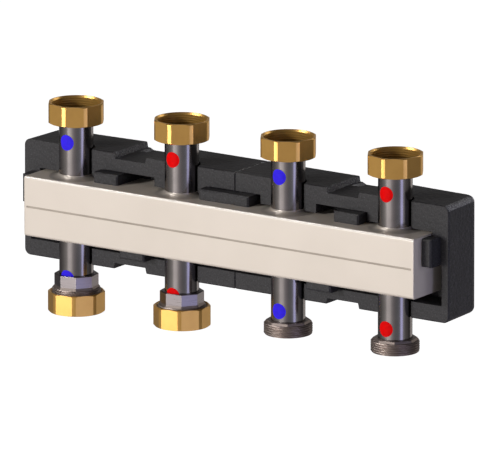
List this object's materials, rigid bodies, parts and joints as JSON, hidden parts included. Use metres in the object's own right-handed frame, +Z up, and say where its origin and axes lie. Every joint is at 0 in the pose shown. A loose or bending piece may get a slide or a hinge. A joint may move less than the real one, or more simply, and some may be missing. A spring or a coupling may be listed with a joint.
{
  "type": "heating distribution manifold",
  "caption": "Square-box heating manifold with upright flow and return pipes, union nuts on the pipe ends and moulded foam shells behind.",
  "frame": {"origin": "centre of the chamber box, on the plane of the pipe axes", "axes": "+X along the box to the right seen from the front, +Y towards the wall, +Z up along the pipes"},
  "size_m": [0.4988, 0.088, 0.2101],
  "materials": {
    "box_steel": "satin welded sheet",
    "pipe_steel": "polished tube",
    "fitting_steel": "turned, bright",
    "wire_steel": "drawn wire",
    "nut_brass": "machined",
    "gasket_rubber": "flat sheet rubber",
    "foam": "moulded expanded bead foam",
    "blue_mark": "printed sticker",
    "red_mark": "printed sticker"
  },
  "bodies": {
    "manifold": {"upper_channel": "box_steel", "lower_channel": "box_steel", "partition_plate": "box_steel", "end_plate_left": "box_steel", "end_plate_right": "box_steel", "rear_shell_left": "foam", "rear_shell_right": "foam", "return_pipe_1": "pipe_steel", "flow_pipe_1": "pipe_steel", "return_pipe_2": "pipe_steel", "flow_pipe_2": "pipe_steel", "return_mark_1_top": "blue_mark", "return_mark_1_low": "blue_mark", "flow_mark_1_top": "red_mark", "flow_mark_1_low": "red_mark", "return_mark_2_top": "blue_mark", "return_mark_2_low": "blue_mark", "flow_mark_2_top": "red_mark", "flow_mark_2_low": "red_mark", "seat_flange_1": "pipe_steel", "wire_ring_1": "wire_steel", "top_gasket_1": "gasket_rubber", "threaded_spigot_1": "fitting_steel", "seat_flange_2": "pipe_steel", "wire_ring_2": "wire_steel", "top_gasket_2": "gasket_rubber", "threaded_spigot_2": "fitting_steel", "seat_flange_3": "pipe_steel", "wire_ring_3": "wire_steel", "top_gasket_3": "gasket_rubber", "threaded_spigot_3": "fitting_steel", "seat_flange_4": "pipe_steel", "wire_ring_4": "wire_steel", "top_gasket_4": "gasket_rubber", "threaded_spigot_4": "fitting_steel", "octagon_collar_1": "fitting_steel", "octagon_collar_2": "fitting_steel"},
    "union_nut_top_1": {"top_nut_1": "nut_brass"},
    "union_nut_top_2": {"top_nut_2": "nut_brass"},
    "union_nut_top_3": {"top_nut_3": "nut_brass"},
    "union_nut_top_4": {"top_nut_4": "nut_brass"},
    "union_nut_low_1": {"lower_nut_1": "nut_brass", "lower_gasket_1": "gasket_rubber"},
    "union_nut_low_2": {"lower_nut_2": "nut_brass", "lower_gasket_2": "gasket_rubber"}
  },
  "joints": [
    {"name": "top_nut_1_turn", "type": "hinge", "parent": "manifold", "child": "union_nut_top_1", "pos_m": [-0.1875, 0, 0.0944], "axis": [0, 0, 1], "continuous": true},
    {"name": "top_nut_2_turn", "type": "hinge", "parent": "manifold", "child": "union_nut_top_2", "pos_m": [-0.0625, 0, 0.0944], "axis": [0, 0, 1], "continuous": true},
    {"name": "top_nut_3_turn", "type": "hinge", "parent": "manifold", "child": "union_nut_top_3", "pos_m": [0.0625, 0, 0.0944], "axis": [0, 0, 1], "continuous": true},
    {"name": "top_nut_4_turn", "type": "hinge", "parent": "manifold", "child": "union_nut_top_4", "pos_m": [0.1875, 0, 0.0944], "axis": [0, 0, 1], "continuous": true},
    {"name": "lower_nut_1_turn", "type": "hinge", "parent": "manifold", "child": "union_nut_low_1", "pos_m": [-0.1875, 0, -0.0953], "axis": [0, 0, 1], "continuous": true},
    {"name": "lower_nut_2_turn", "type": "hinge", "parent": "manifold", "child": "union_nut_low_2", "pos_m": [-0.0625, 0, -0.092], "axis": [0, 0, 1], "continuous": true}
  ]
}
